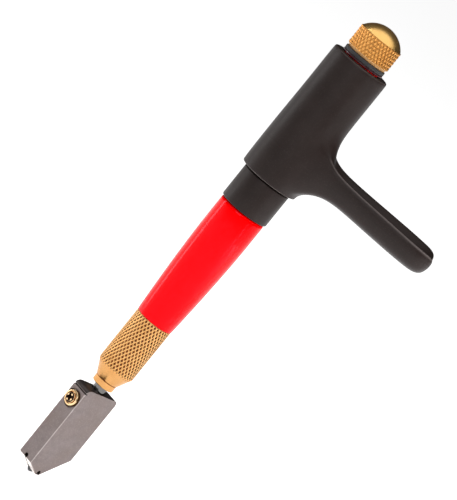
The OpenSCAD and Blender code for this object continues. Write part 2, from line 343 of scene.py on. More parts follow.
def mixColours(tree, place, mask, first, second):
    item = addNode(tree, "ShaderNodeMix", place, data_type="RGBA")
    tree.links.new(mask, item.inputs["Factor"])
    for label, value in (("A", first), ("B", second)):
        socket = [s for s in item.inputs if s.name == label and s.type == "RGBA"][0]
        if isinstance(value, tuple):
            socket.default_value = value
        else:
            tree.links.new(value, socket)
    return [s for s in item.outputs if s.type == "RGBA"][0]


def mixRough(tree, shader, place, mask, low, high):
    item = addNode(tree, "ShaderNodeMapRange", place, {"To Min": low, "To Max": high})
    tree.links.new(mask, item.inputs["Value"])
    tree.links.new(item.outputs[0], shader.inputs["Roughness"])


def tinted(colour, shares):
    # the same colour with each of its parts made stronger or weaker
    return tuple(min(1, part * share) for part, share in zip(colour[:3], shares)) + (1,)


def addBump(tree, shader, place, height, distance, strength=1.0, under=None):
    item = addNode(tree, "ShaderNodeBump", place, {"Distance": distance, "Strength": strength})
    tree.links.new(height, item.inputs["Height"])
    if under:
        tree.links.new(under.outputs["Normal"], item.inputs["Normal"])
    tree.links.new(item.outputs["Normal"], shader.inputs["Normal"])
    return item


def addRelief(tree, shader, group, distance, strength, **values):
    # a group's Height as a bump; both come back for further use
    source = addGroup(tree, group, (-900, -300), **values)
    return source, addBump(tree, shader, (-300, -300), source.outputs["Height"], distance, strength)


def patchColours(tree, shader, first, second, rough=None, **spread):
    # soft patches of two colours, each with its own roughness
    hands = addGroup(tree, handling, (-900, 0), **spread)
    colour = mixColours(tree, (-500, 250), hands.outputs["Mask"], first, second)
    tree.links.new(colour, shader.inputs["Base Color"])
    if rough:
        mixRough(tree, shader, (-500, -50), hands.outputs["Mask"], *rough)


def redGloss():
    material, tree, shader = newMaterial("redGloss", Roughness=0.05, Specular_IOR_Level=0.18,
                                         Specular_Tint=(1.0, 0.35, 0.6, 1.0))
    patchColours(tree, shader, (0.96, 0.0, 0.0, 1), (0.88, 0.0, 0.0, 1), (0.03, 0.06),
                 Scale=90.0, Cover=0.52, Soft=0.2)
    addRelief(tree, shader, moldGrain, 0.00001, 0.15, Scale=350.0, Specks=0.0)
    return material


# a far darker copy of the barrel's red: painted shade on the top ring in the gap under the gasket
def shadedRedRing():
    material, tree, shader = newMaterial("shadedRedRing", Roughness=0.3)
    patchColours(tree, shader, (0.07, 0.005, 0.01, 1), (0.045, 0.003, 0.006, 1),
                 Scale=200.0, Cover=0.5, Soft=0.3)
    return material


def blackSatin(seamHeight=None, seamWidth=0.00012):
    # moulded black plastic; a seam is the thin line where two halves of the mould met
    material, tree, shader = newMaterial("blackSeamed" if seamHeight else "blackSatin",
                                         Roughness=0.42, Specular_IOR_Level=0.2)
    grain, bump = addRelief(tree, shader, moldGrain, 0.00003, 0.55, Scale=2600.0, Specks=0.6)
    hands = addGroup(tree, handling, (-900, 0), Scale=70.0, Cover=0.5, Soft=0.25)
    dark, dusty = (0.0135, 0.0078, 0.0066, 1), (0.0205, 0.0128, 0.0113, 1)
    # the last colour is a painted highlight for the grip's rims
    speckled, rimHighlightColour = (0.027, 0.019, 0.017, 1), (0.11, 0.09, 0.085, 1)
    plain = mixColours(tree, (-500, 250), hands.outputs["Mask"], dark, dusty)
    colour = mixColours(tree, (-300, 250), grain.outputs["Speck"], plain, speckled)
    if seamHeight:
        # the sharply curved rims of the grip get a paler painted highlight, and the seam runs round it
        geometry = addNode(tree, "ShaderNodeNewGeometry", (-700, 500))
        paintedRimLight = addNode(tree, "ShaderNodeMapRange", (-450, 500), {"From Min": 0.51, "From Max": 0.526},
                         interpolation_type="SMOOTHSTEP")
        tree.links.new(geometry.outputs["Pointiness"], paintedRimLight.inputs["Value"])
        colour = mixColours(tree, (-100, 250), paintedRimLight.outputs[0], colour, rimHighlightColour)
        axes = splitPlace(tree, (-1100, -600))
        away = mathNode(tree, "SUBTRACT", (-700, -600), axes["Z"], seamHeight)
        away = mathNode(tree, "ABSOLUTE", (-600, -600), away)
        line = addNode(tree, "ShaderNodeMapRange", (-450, -600), {"From Min": seamWidth, "From Max": 0})
        tree.links.new(away, line.inputs["Value"])
        addBump(tree, shader, (-100, -400), line.outputs[0], 0.00006, 0.6, under=bump)
    tree.links.new(colour, shader.inputs["Base Color"])
    mixRough(tree, shader, (-500, -50), hands.outputs["Mask"], 0.36, 0.48)
    return material


def brass(name, crest, groove, radius=None, depth=0.0004, turned=0.00012, rough=(0.16, 0.3), relief=0.000006,
          metal=1.0):
    # knurled brass gets painted shade, dull and brown, in its grooves and stays bright on its crests
    material, tree, shader = newMaterial(name, Metallic=metal)
    hands = addGroup(tree, handling, (-900, 0), Scale=160.0, Cover=0.5, Soft=0.25)
    colour = mixColours(tree, (-500, 250), hands.outputs["Mask"], crest, tinted(crest, (0.93, 0.86, 0.76)))
    if radius:
        # the groove colour is painted shade, strongest at the bottom of the knurl
        grooveShadeMask = addGroup(tree, grooveShade, (-900, 300), Radius=radius, Depth=depth)
        colour = mixColours(tree, (-300, 250), grooveShadeMask.outputs["Mask"], colour, groove)
    tree.links.new(colour, shader.inputs["Base Color"])
    mixRough(tree, shader, (-500, -50), hands.outputs["Mask"], *rough)
    addRelief(tree, shader, turnedLines, relief, 0.5, Spacing=turned)
    return material


def sinteredSteel(name="sinteredSteel", dark=(0.165, 0.134, 0.129, 1), pale=(0.245, 0.204, 0.199, 1),
                  rough=(0.42, 0.55)):
    # pressed and sintered powder: mauve grey and mottled, with pale specks
    material, tree, shader = newMaterial(name, Metallic=0.5, Specular_IOR_Level=0.35)
    grain = addRelief(tree, shader, moldGrain, 0.00004, 0.6, Scale=3200.0, Specks=1.0)[0]
    cloud = addGroup(tree, handling, (-1100, 0), Scale=420.0, Cover=0.5, Soft=0.3)
    stain = addGroup(tree, handling, (-1100, 500), Scale=110.0, Cover=0.55, Soft=0.2)
    colour = mixColours(tree, (-800, 250), cloud.outputs["Mask"], dark, pale)
    colour = mixColours(tree, (-600, 250), stain.outputs["Mask"], colour, tinted(dark, (1.15, 1.1, 1.03)))
    colour = mixColours(tree, (-400, 250), grain.outputs["Speck"], colour, tinted(pale, (1.12, 1.12, 1.12)))
    tree.links.new(colour, shader.inputs["Base Color"])
    mixRough(tree, shader, (-500, -50), cloud.outputs["Mask"], *rough)
    return material


def brightSteel(name="brightSteel", colour=(0.7, 0.69, 0.68, 1), rough=(0.18, 0.32), spacing=0.00008):
    material, tree, shader = newMaterial(name, Metallic=1.0)
    patchColours(tree, shader, colour, tinted(colour, (0.8, 0.8, 0.8)), rough,
                 Scale=500.0, Cover=0.5, Soft=0.25)
    addRelief(tree, shader, turnedLines, 0.000004, 0.5, Spacing=spacing)
    return material


# near-black finish that paints shade into the head's cuts and holes and the screw's cross recess
def paintedShadeDark(name="paintedShadeDark", colour=(0.012, 0.008, 0.006, 1)):
    material, tree, shader = newMaterial(name, Metallic=0.3, Specular_IOR_Level=0.2)
    patchColours(tree, shader, colour, tinted(colour, (2, 2, 2)), (0.55, 0.75),
                 Scale=900.0, Cover=0.5, Soft=0.3)
    return material


def blackRubber():
    material, tree, shader = newMaterial("blackRubber", Roughness=0.6)
    patchColours(tree, shader, (0.018, 0.018, 0.019, 1), (0.03, 0.03, 0.031, 1), (0.5, 0.68),
                 Scale=300.0, Cover=0.5, Soft=0.3)
    addRelief(tree, shader, moldGrain, 0.00003, 0.5, Scale=1800.0, Specks=0.4)
    return material


def feltFibre():
    # felt soaked in cutting oil: cream with amber patches and a fibrous nap
    material, tree, shader = newMaterial("feltFibre", Roughness=0.9, Sheen_Weight=0.3)
    patchColours(tree, shader, (0.68, 0.62, 0.48, 1), (0.45, 0.33, 0.16, 1),
                 Scale=800.0, Cover=0.5, Soft=0.3)
    addRelief(tree, shader, moldGrain, 0.00008, 0.8, Scale=6000.0, Specks=0.0)
    return material


noseSize = sizeOf("nose")
barrelSize = sizeOf("barrel")
nose = {
    "starts": 34, "pitch": 2.07, "depth": 0.4, "flat": 1.25, "pits": True,  # knurl
    "steps": 204, "row": 0.17,  # mesh density over the knurl
    "tip": 3.6, "tipHeight": 2.1, "tipRound": 0.3,
    "mark": 0.14,  # width of the turned line above the tip
    "neck": (0.25, 0.3), "neckRound": 0.1,  # the cone's foot, out and up from that line
    "cone": 5.5, "coneHeight": 5.7, "coneRound": 0.5, "knurlHeight": 6.6, "knurlEdge": 0.05,
    "shoulderRound": 0.25, "spigotRound": 0.3, "seatRound": 0.1,
    "bore": 2.2, "chamber": 3.5, "spigot": 4.9, "plugSeat": 3.9,
    "pitShare": 0.5,  # the share of the knurl's depth at which the painted shade in the pits is fully brown
}


def buildNose():
    low, joint, top = noseSize["bottom"], barrelSize["bottom"], noseSize["top"]
    r = noseSize["r"]
    seat = sizeOf("valve_seal")["bottom"]
    plug = sizeOf("spring_plug")["bottom"]
    line = low + nose["tipHeight"]
    path = roundCorners([
        (nose["bore"], low, 0), (nose["tip"], low, nose["tipRound"]), (nose["tip"], line - nose["mark"], 0),
        (nose["tip"] - nose["mark"], line - nose["mark"] / 2, 0), (nose["tip"], line, 0),
        (nose["tip"] + nose["neck"][0], line + nose["neck"][1], nose["neckRound"]),
        (nose["cone"], low + nose["coneHeight"], nose["coneRound"]),
        (r, low + nose["knurlHeight"], nose["knurlEdge"]), (r, joint, nose["shoulderRound"]),
        (nose["spigot"], joint, 0), (nose["spigot"], top, nose["spigotRound"]),
        (nose["plugSeat"], top, nose["seatRound"]), (nose["plugSeat"], plug, 0), (nose["chamber"], plug, 0),
        (nose["chamber"], seat, 0), (nose["bore"], seat, 0)])
    start, end = low + nose["coneHeight"] + 0.3, joint  # the knurl runs out on the cone
    bm = spinPath(splitLong(path, start, end, nose["row"]), nose["steps"])
    cutKnurl(bm, nose, r, start, end)
    return bm


# the nose's second colour is painted shade in the knurl's pits
brassNose = brass("brassNose", (0.76, 0.44, 0.17, 1), (0.17, 0.035, 0.006, 1),
                  radius=noseSize["r"] * mm, depth=nose["depth"] * nose["pitShare"] * mm)
# a darker copy of the nose's brass: painted shade on the plain cone and tip
shadedBrassTip = brass("shadedBrassTip", (0.6, 0.32, 0.12, 1), (0.3, 0.12, 0.04, 1), turned=0.0004, relief=0.000004)
nosePiece = finishPiece(buildNose(), "noseHousing", "barrel", brassNose, ["nose"], sharp=24)
nosePiece.data.materials.append(shadedBrassTip)
plainBelow = noseSize["bottom"] + nose["knurlHeight"] - nose["tipRound"] / 2
for face in nosePiece.data.polygons:
    if face.center.z < plainBelow * mm:
        face.material_index = 1


sleeveSize = sizeOf("sleeve")
barrel = {
    "low": 6.1, "flare": 33.4, "bend": 1.6, "rows": 20,  # the outside swells and then runs straight
    "footRound": 0.35, "shoulderRound": 1.0, "shoulderGap": 0.1, "tube": 6.0, "tubeRound": 0.1,
    "sealSeat": 5.7, "sealDepth": 0.8, "spigot": 4.9, "reservoir": 4.4, "reservoirTop": 146.0,
    "ringBore": 5.0, "steps": 128,
}


def buildBarrel():
    low, top, wide = barrelSize["bottom"], barrelSize["top"], barrelSize["r"]
    shoulder = sleeveSize["bottom"] - barrel["shoulderGap"]
    swell = []
    for i in range(1, barrel["rows"] + 1):
        share = i / barrel["rows"]
        r = wide - (wide - barrel["low"]) * (1 - share) ** barrel["bend"]
        swell.append((r, low + barrel["flare"] * share, 0))
    return spinPath(roundCorners(
        [(barrel["sealSeat"], low, 0), (barrel["low"], low, barrel["footRound"])] + swell
        + [(wide, shoulder, barrel["shoulderRound"]), (barrel["tube"], shoulder, 0),
           (barrel["tube"], top, barrel["tubeRound"]), (barrel["ringBore"], top, 0),
           (barrel["ringBore"], barrel["reservoirTop"], 0), (barrel["reservoir"], barrel["reservoirTop"], 0),
           (barrel["reservoir"], noseSize["top"], 0), (barrel["spigot"], noseSize["top"], 0),
           (barrel["spigot"], low + barrel["sealDepth"], 0),
           (barrel["sealSeat"], low + barrel["sealDepth"], 0)]), barrel["steps"])


finishPiece(buildBarrel(), "barrelTube", "barrel", redGloss(), ["barrel"])

sleeve = {
    "r": 7.0, "groove": 6.34, "grooveHeight": 0.9,  # the groove holds the friction ring
    "edge": 0.45, "stepDrop": 0.3, "stepRound": 0.35, "topRound": 0.2, "steps": 96,
}


def buildSleeve():
    low, top, wide = sleeveSize["bottom"], sleeveSize["top"], sleeveSize["r"]
    ring = sizeOf("saddle_ring")
    middle = (ring["bottom"] + ring["top"]) / 2
    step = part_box("saddle")[0].z / mm - sleeve["stepDrop"]
    grooveLow, grooveHigh = middle - sleeve["grooveHeight"] / 2, middle + sleeve["grooveHeight"] / 2
    return spinPath(roundCorners([
        (barrel["tube"], low, 0), (wide, low, sleeve["edge"]), (wide, step, sleeve["stepRound"]),
        (sleeve["r"], step, 0), (sleeve["r"], grooveLow, 0), (sleeve["groove"], grooveLow, 0),
        (sleeve["groove"], grooveHigh, 0), (sleeve["r"], grooveHigh, 0),
        (sleeve["r"], top, sleeve["topRound"]), (barrel["tube"], top, 0)]), sleeve["steps"])


finishPiece(buildSleeve(), "sleeveBush", "barrel", blackSatin(), ["sleeve"])

ringSize = sizeOf("top_ring")
topRing = {"spigot": 5.0, "spigotRound": 0.2, "bore": 4.0, "flange": 0.5, "edge": 0.12, "steps": 96}


def buildTopRing():
    low, top, wide = ringSize["bottom"], ringSize["top"], ringSize["r"]
    under = top - topRing["flange"]
    return spinPath(roundCorners([
        (topRing["bore"], low, 0), (topRing["spigot"], low, topRing["spigotRound"]),
        (topRing["spigot"], under, 0), (wide, under, topRing["edge"]), (wide, top, topRing["edge"]),
        (topRing["bore"], top, 0)]), topRing["steps"])


finishPiece(buildTopRing(), "threadedTopRing", "barrel", shadedRedRing(), ["top_ring"])

gasketSize = sizeOf("cap_gasket")
rubber = blackRubber()
gasket = {"bore": 4.2, "boreRound": 0.15, "edge": 0.3, "steps": 96}
gasketPath = roundCorners([
    (gasket["bore"], gasketSize["bottom"], gasket["boreRound"]),
    (gasketSize["r"], gasketSize["bottom"], gasket["edge"]),
    (gasketSize["r"], gasketSize["top"], gasket["edge"]),
    (gasket["bore"], gasketSize["top"], gasket["boreRound"])])
finishPiece(spinPath(gasketPath, gasket["steps"]), "capGasket", "cap_gasket", rubber, ["cap_gasket"])


capSize = sizeOf("filler_cap")
cap = {
    "starts": 38, "pitch": 2.18, "depth": 0.28, "pits": False,  # knurl
    "steps": 304, "row": 0.13625,  # mesh density over the knurl
    "chamfer": 0.9, "edge": 0.1, "domeEdge": 6.8, "domeHeight": 3.7, "domeRows": 24,
    "ledge": 0.12,  # from the top of the knurl to the dome's foot
    "grooveShare": 1.2,  # over the knurl's depth the colour goes this far towards the groove's painted shade
    "stud": 3.95, "threadPitch": 1.0, "threadDepth": 0.35, "threadRow": 0.125, "threadEnd": 0.6,
}


def buildCap():
    low, top, r = capSize["bottom"], capSize["top"], capSize["r"]
    base = gasketSize["top"]
    shoulder = top - cap["domeHeight"]
    ball = (cap["domeEdge"] ** 2 + cap["domeHeight"] ** 2) / (2 * cap["domeHeight"])
    edge = math.asin(cap["domeEdge"] / ball)
    angles = [edge * (1 - i / cap["domeRows"]) for i in range(cap["domeRows"] + 1)]
    dome = [(ball * math.sin(angle), top - ball + ball * math.cos(angle)) for angle in angles]
    path = roundCorners([
        (0, low, 0), (cap["stud"], low, 0), (cap["stud"], base, 0), (r - cap["chamfer"], base, cap["edge"]),
        (r, base + cap["chamfer"], cap["edge"]), (r, shoulder - cap["ledge"], 0)]) + dome
    start = base + cap["chamfer"]
    path = splitLong(path, start - slack, shoulder - cap["ledge"], cap["row"])
    path = splitLong(path, low, base, cap["threadRow"])
    bm = spinPath(path, cap["steps"], closed=False)
    cutKnurl(bm, cap, r, start + cap["edge"] / 2, shoulder - cap["ledge"] + slack)
    cutThread(bm, cap["threadPitch"], cap["threadDepth"], cap["stud"], low, base - cap["threadEnd"])
    return bm


# the cap's second colour is painted shade in the knurl's grooves
brassCap = brass("brassCap", (0.84, 0.44, 0.13, 1), (0.45, 0.17, 0.035, 1),
                 radius=capSize["r"] * mm, depth=cap["depth"] * cap["grooveShare"] * mm, rough=(0.4, 0.48))
# a brighter copy of the cap's brass: painted highlight on the dome
capDome = brass("brassDome", (0.95, 0.59, 0.2, 1), (0.3, 0.12, 0.03, 1), turned=0.00005,
                rough=(0.29, 0.34), relief=0.000002)
# a paler, less metallic copy of the cap's brass: painted light on the chamfer and stud, which face down
capFoot = brass("brassFoot", (0.86, 0.5, 0.22, 1), (0.3, 0.12, 0.03, 1), rough=(0.4, 0.5), metal=0.4)
capPiece = finishPiece(buildCap(), "fillerCap", "filler_cap", brassCap, ["filler_cap"], sharp=40)
capPiece.data.materials.append(capDome)
capPiece.data.materials.append(capFoot)
for face in capPiece.data.polygons:
    if face.center.z > (capSize["top"] - cap["domeHeight"] - cap["edge"] / 2) * mm:
        face.material_index = 1  # dome
    elif face.center.z < (gasketSize["top"] + cap["chamfer"]) * mm:
        face.material_index = 2  # chamfer and stud


headSize = sizeOf("head_body", headTurn)
screwSize = sizeOf("head_screw", headTurn)
screwHeight = joints["head_screw_turn"]["pos_m"][2] / mm
wheelPlace = headTurn.inverted() @ Vector(joints["wheel_spin"]["pos_m"]) / mm
alongAcross = Matrix.Rotation(math.pi / 2, 4, "Y")  # turns a piece made upright to lie across the head
throughHead = Matrix.Rotation(-math.pi / 2, 4, "X")  # and this one through its thickness
past = 1  # how far a cutter stands out of the skin, in millimetres
head = {
    "tipFlat": (0.6, 2.3), "screwBevel": 4.0, "backBevel": 9.05,  # the V at the tip
    "tipRound": 0.15, "bevelRound": 0.3, "backRound": 0.6, "corner": 2.2, "backCorner": 1.7,
    "cornerSteps": 8, "edge": 0.2, "edgeSteps": 3,
    "slot": 1.25, "slotRoof": 5.2, "wheelEnd": 3.5, "sawCut": 0.6,  # wide at the wheel, then a thin cut
    "drilled": 0.7, "drilledDepth": 1.6,
    "axleHole": 0.64, "socket": 2.35, "socketFloor": 20.5, "channel": 0.8,
    "screwHole": 1.55, "screwHoleEnd": 0.5, "pocket": 3.02, "pocketDepth": 0.9,
    "groove": (6.5, 30.05, 30.4),  # a saw line across the screw's side: its bottom, and its two heights
}
drilledAt = (head["screwBevel"] + head["slotRoof"]) / 2


def placed(bm, turn=Matrix.Identity(4), across=0.0, through=0.0, up=0.0):
    # moves a piece from the origin to its place in the head
    bm.transform(headTurn @ Matrix.Translation(Vector((across, through, up)) * mm) @ turn)
    return bm


def buildBox(low, high):
    bm = bmesh.new()
    bmesh.ops.create_cube(bm, size=1)
    size = [high[i] - low[i] for i in range(3)]
    middle = [(high[i] + low[i]) / 2 for i in range(3)]
    bmesh.ops.scale(bm, vec=Vector(size) * mm, verts=bm.verts)
    bmesh.ops.translate(bm, vec=Vector(middle) * mm, verts=bm.verts)
    return bm


def buildHead():
    left, right = headSize["low"].x, headSize["high"].x
    half, low, top = headSize["high"].y, headSize["bottom"], headSize["top"]
    outline = roundCorners([
        (head["tipFlat"][0], low, head["tipRound"]), (head["tipFlat"][1], low, head["tipRound"]),
        (right, head["screwBevel"], head["bevelRound"]), (right, top, head["corner"]),
        (left, top, head["backCorner"]), (left, head["backBevel"], head["backRound"])], head["cornerSteps"])
    bm = bmesh.new()
    face = bm.faces.new([bm.verts.new((u * mm, -half * mm, z * mm)) for u, z in outline])
    grown = bmesh.ops.extrude_face_region(bm, geom=[face], use_keep_orig=True)["geom"]
    far = [item for item in grown if isinstance(item, bmesh.types.BMVert)]
    bmesh.ops.translate(bm, vec=(0, 2 * half * mm, 0), verts=far)
    bmesh.ops.recalc_face_normals(bm, faces=bm.faces)
    rims = [edge for edge in bm.edges if edge.calc_face_angle(0) > math.radians(60)]
    bmesh.ops.bevel(bm, geom=rims, offset=head["edge"] * mm, offset_type="OFFSET", affect="EDGES",
                    segments=head["edgeSteps"], profile=0.5, material=-1)
    placed(bm)
    slot, cut, roof = head["slot"] / 2, head["sawCut"] / 2, head["slotRoof"]
    wheelEnd, socketFloor, holeEnd = head["wheelEnd"], head["socketFloor"], head["screwHoleEnd"]
    drilledEnd, pocketFloor = right - head["drilledDepth"], right - head["pocketDepth"]
    bottom, grooveLow, grooveHigh = head["groove"]
    cutters = [
        placed(buildBox((left - 2 * past, -slot, -past), (wheelEnd, slot, roof))),
        placed(buildBox((wheelEnd - past / 2, -cut, -past), (right + 2 * past, cut, roof))),
        placed(rod(head["drilled"], drilledEnd, right + past, 40), alongAcross, 0, 0, drilledAt),
        placed(rod(head["axleHole"], -half - past, half + past), throughHead, wheelPlace.x, 0, wheelPlace.z),
        rod(head["socket"], socketFloor, top + past, 64),
        placed(rod(head["channel"], roof - past / 2, socketFloor + past / 2), across=wheelPlace.x),
        placed(rod(head["screwHole"], holeEnd, right + past, 48), alongAcross, 0, 0, screwHeight),
        placed(rod(head["pocket"], pocketFloor, right + past, 64), alongAcross, 0, 0, screwHeight),
        placed(buildBox((bottom, -half - past, grooveLow), (right + past, half + past, grooveHigh))),
    ]
    return carve(bm, cutters)


headPiece = finishPiece(buildHead(), "headBlock", "head", sinteredSteel(), ["head_body"],
                        sharp=50)
square, large = 0.9999, 8 * mm ** 2  # a face that looks straight along an axis, or is large, is shaded flat
for face in headPiece.data.polygons:
    turned = headTurn.to_3x3().inverted() @ face.normal
    if max(abs(turned.x), abs(turned.y), abs(turned.z)) > square or face.area > large:
        face.use_smooth = False


def paintFaces(piece, material, chosen):
    # gives some faces one more material; a face's middle and normal are passed in the head's own frame
    piece.data.materials.append(material)
    back = headTurn.inverted()
    for face in piece.data.polygons:
        if chosen(back @ face.center / mm, back.to_3x3() @ face.normal):
            face.material_index = len(piece.data.materials) - 1


margin = 0.1  # round each cut, for the faces that belong to it
screwSide = 5  # faces further across than this are on the screw's side


def onRim(point, normal):
    # the small roundings along the two wide faces, except at the top; they get a painted highlight
    leaning = 0.12 < abs(normal.y) < 0.98 and normal.z < 0.3
    return leaning and abs(point.y) > headSize["high"].y - head["edge"] - 2 * slack


def onTop(point, normal):
    return normal.z > 0.35 and point.z > headSize["top"] - head["corner"]


def onBevel(point, normal):
    # the short slope under the screw's side
    facing = normal.z < -0.5 and normal.x > 0.3 and abs(normal.y) < 0.1
    return facing and point.z < head["screwBevel"] + margin


def inCuts(point, normal):
    inSlot = abs(point.y) < head["slot"] / 2 + margin / 2 and point.z < head["slotRoof"] + margin
    inDrilled = math.hypot(point.y, point.z - drilledAt) < head["drilled"] + margin / 2
    inAxleHole = math.hypot(point.x - wheelPlace.x, point.z - wheelPlace.z) < head["axleHole"] + 2 * slack
    inGroove = head["groove"][1] < point.z < head["groove"][2] and 6 < point.x < screwSize["high"].x - 1.1
    return inSlot and abs(normal.x) < 0.5 or inDrilled and point.x > screwSide or inAxleHole or inGroove


# a paler copy of the sintered steel: painted highlight on the roundings along the wide faces
paintedRimLight = sinteredSteel("paintedRimHighlight", (0.3, 0.26, 0.25, 1), (0.5, 0.44, 0.43, 1), (0.35, 0.45))
# a near-black copy of the sintered steel: painted shade on the head's top face and its rounded corners
topShade = sinteredSteel("paintedTopShade", (0.03, 0.024, 0.022, 1), (0.07, 0.057, 0.055, 1), (0.35, 0.45))
# a near-white copy of the sintered steel: painted highlight on the short bevel under the screw's side
bevelHighlight = sinteredSteel("paintedBevelHighlight", (0.75, 0.7, 0.68, 1), (0.9, 0.86, 0.84, 1), (0.25, 0.35))
# the last material paints shade into the slot, the holes and the saw groove
for material, chosen in ((paintedRimLight, onRim), (topShade, onTop), (bevelHighlight, onBevel), (paintedShadeDark(), inCuts)):
    paintFaces(headPiece, material, chosen)

screw = {
    "headHeight": 1.8, "shank": 1.5, "shankStart": 1.4, "tip": 0.8, "tipLength": 1.0, "edge": 0.1,
    "rim": 1.55, "rimRound": 0.3, "rimWidth": 0.5, "rimRise": 0.12,
    "dish": 0.45, "inner": 1.7, "innerSlope": 0.12,  # a dished ring between the rim and the middle
    "proud": 0.4, "crown": 0.25, "crownWidth": 0.5, "crownRound": 0.2,  # the taller middle
    "recess": 3.1, "recessWidth": 1.15, "recessDepth": 1.3, "recessTurn": 28, "taper": (0.5, 0.6),
}


def buildScrew():
    low, top, r = screwSize["low"].x, screwSize["high"].x + screw["proud"], screwSize["high"].y
    seat = screwSize["high"].x - screw["headHeight"]
    rim = seat + screw["rim"]
    path = roundCorners([
        (0, low, 0), (screw["tip"], low, screw["edge"]), (screw["tip"], low + screw["tipLength"], 0),
        (screw["shank"], low + screw["shankStart"], 0), (screw["shank"], seat, 0),
        (r, seat, screw["edge"]), (r, rim, screw["rimRound"]),
        (r - screw["rimWidth"], rim + screw["rimRise"], screw["edge"]),
        (screw["inner"] + screw["innerSlope"], rim - screw["dish"], 0),
        (screw["inner"], rim - screw["dish"], 0),
        (screw["inner"], top - screw["crown"], screw["crown"]),
        (screw["inner"] - screw["crownWidth"], top, screw["crownRound"]), (0, top, 0)])
    bm = spinPath(path, 64, closed=False)
    wings = []
    for turn in (screw["recessTurn"], screw["recessTurn"] + 90):
        wing = buildBox((-screw["recess"] / 2, -screw["recessWidth"] / 2, top - screw["recessDepth"]),
                        (screw["recess"] / 2, screw["recessWidth"] / 2, top + past))
        for vert in wing.verts:
            if vert.co.z < top * mm:
                vert.co.x *= screw["taper"][0]
                vert.co.y *= screw["taper"][1]
        wing.transform(Matrix.Rotation(math.radians(turn), 4, "Z"))
        wings.append(wing)
    return placed(carve(bm, wings), alongAcross, 0, 0, screwHeight)


def inCross(point, normal):
    top = screwSize["high"].x + screw["proud"]
    fromAxis = math.hypot(point.y, point.z - screwHeight)
    return fromAxis < screw["inner"] - margin and screwSide < point.x < top - 2 * slack


brassScrew = brass("brassScrew", (0.86, 0.63, 0.36, 1), (0.2, 0.08, 0.02, 1), rough=(0.16, 0.28),
                   relief=0.000003)
screwPiece = finishPiece(buildScrew(), "headScrew", "head_screw", brassScrew, ["head_screw"])
# painted shade in the screw's cross recess
paintFaces(screwPiece, paintedShadeDark("screwRecessShade", (0.02, 0.007, 0.003, 1)), inCross)

steel = brightSteel()
axleSize = sizeOf("wheel_axle", headTurn)
axle = {"r": 0.5, "sunk": 1.6, "chamfer": 0.06}
axleEnds = axleSize["low"].y + axle["sunk"], axleSize["high"].y - axle["sunk"]
axlePin = rod(axle["r"], *axleEnds, 24, axle["chamfer"])
finishPiece(placed(axlePin, throughHead, wheelPlace.x, 0, wheelPlace.z), "wheelAxle", "head", steel,
            ["wheel_axle"])

wheel = {"r": wheelPlace.z, "half": 0.55, "bevel": 0.35, "bore": 0.53, "rounds": (0.04, 0.02, 0.01)}
boreRound, edgeRound, rimRound = wheel["rounds"]
shoulder = wheel["r"] - wheel["bevel"]
wheelPath = roundCorners([
    (wheel["bore"], -wheel["half"], boreRound), (shoulder, -wheel["half"], edgeRound),
    (wheel["r"], 0, rimRound),
    (shoulder, wheel["half"], edgeRound), (wheel["bore"], wheel["half"], boreRound)])
# a near-black copy of the bright steel: painted shade on the cutting wheel inside its slot
carbide = brightSteel("groundCarbide", (0.09, 0.09, 0.095, 1), (0.2, 0.34), 0.00003)
finishPiece(placed(spinPath(wheelPath, 64), throughHead, wheelPlace.x, 0, wheelPlace.z), "cuttingWheel",
            "cutting_wheel", carbide, ["cutting_wheel"])


springSize = sizeOf("valve_spring")
spring = {"wire": 0.3, "turns": 5, "stepsPerTurn": 32, "sides": 10, "travel": 0.8}
springHeight = springSize["top"] - springSize["bottom"]


def buildSpring():
    low, rise = springSize["bottom"] + spring["wire"], springHeight - 2 * spring["wire"]
    steps = spring["turns"] * spring["stepsPerTurn"]
    bm = bmesh.new()
    place = Matrix.Translation(Vector((springSize["r"] - spring["wire"], 0, low)) * mm)
    wire = bmesh.ops.create_circle(bm, segments=spring["sides"], radius=spring["wire"] * mm,
                                   matrix=place @ Matrix.Rotation(math.pi / 2, 4, "X"))
    bmesh.ops.spin(bm, geom=wire["verts"] + list(bm.edges), cent=(0, 0, 0), axis=(0, 0, 1),
                   dvec=(0, 0, rise / steps * mm), angle=math.tau * spring["turns"], steps=steps)
    bmesh.ops.holes_fill(bm, edges=bm.edges, sides=spring["sides"])
    bmesh.ops.recalc_face_normals(bm, faces=bm.faces)
    return bm


springPiece = finishPiece(buildSpring(), "valveSpring", "barrel", steel, ["valve_spring"])
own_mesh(springPiece)
print("turned pieces done")


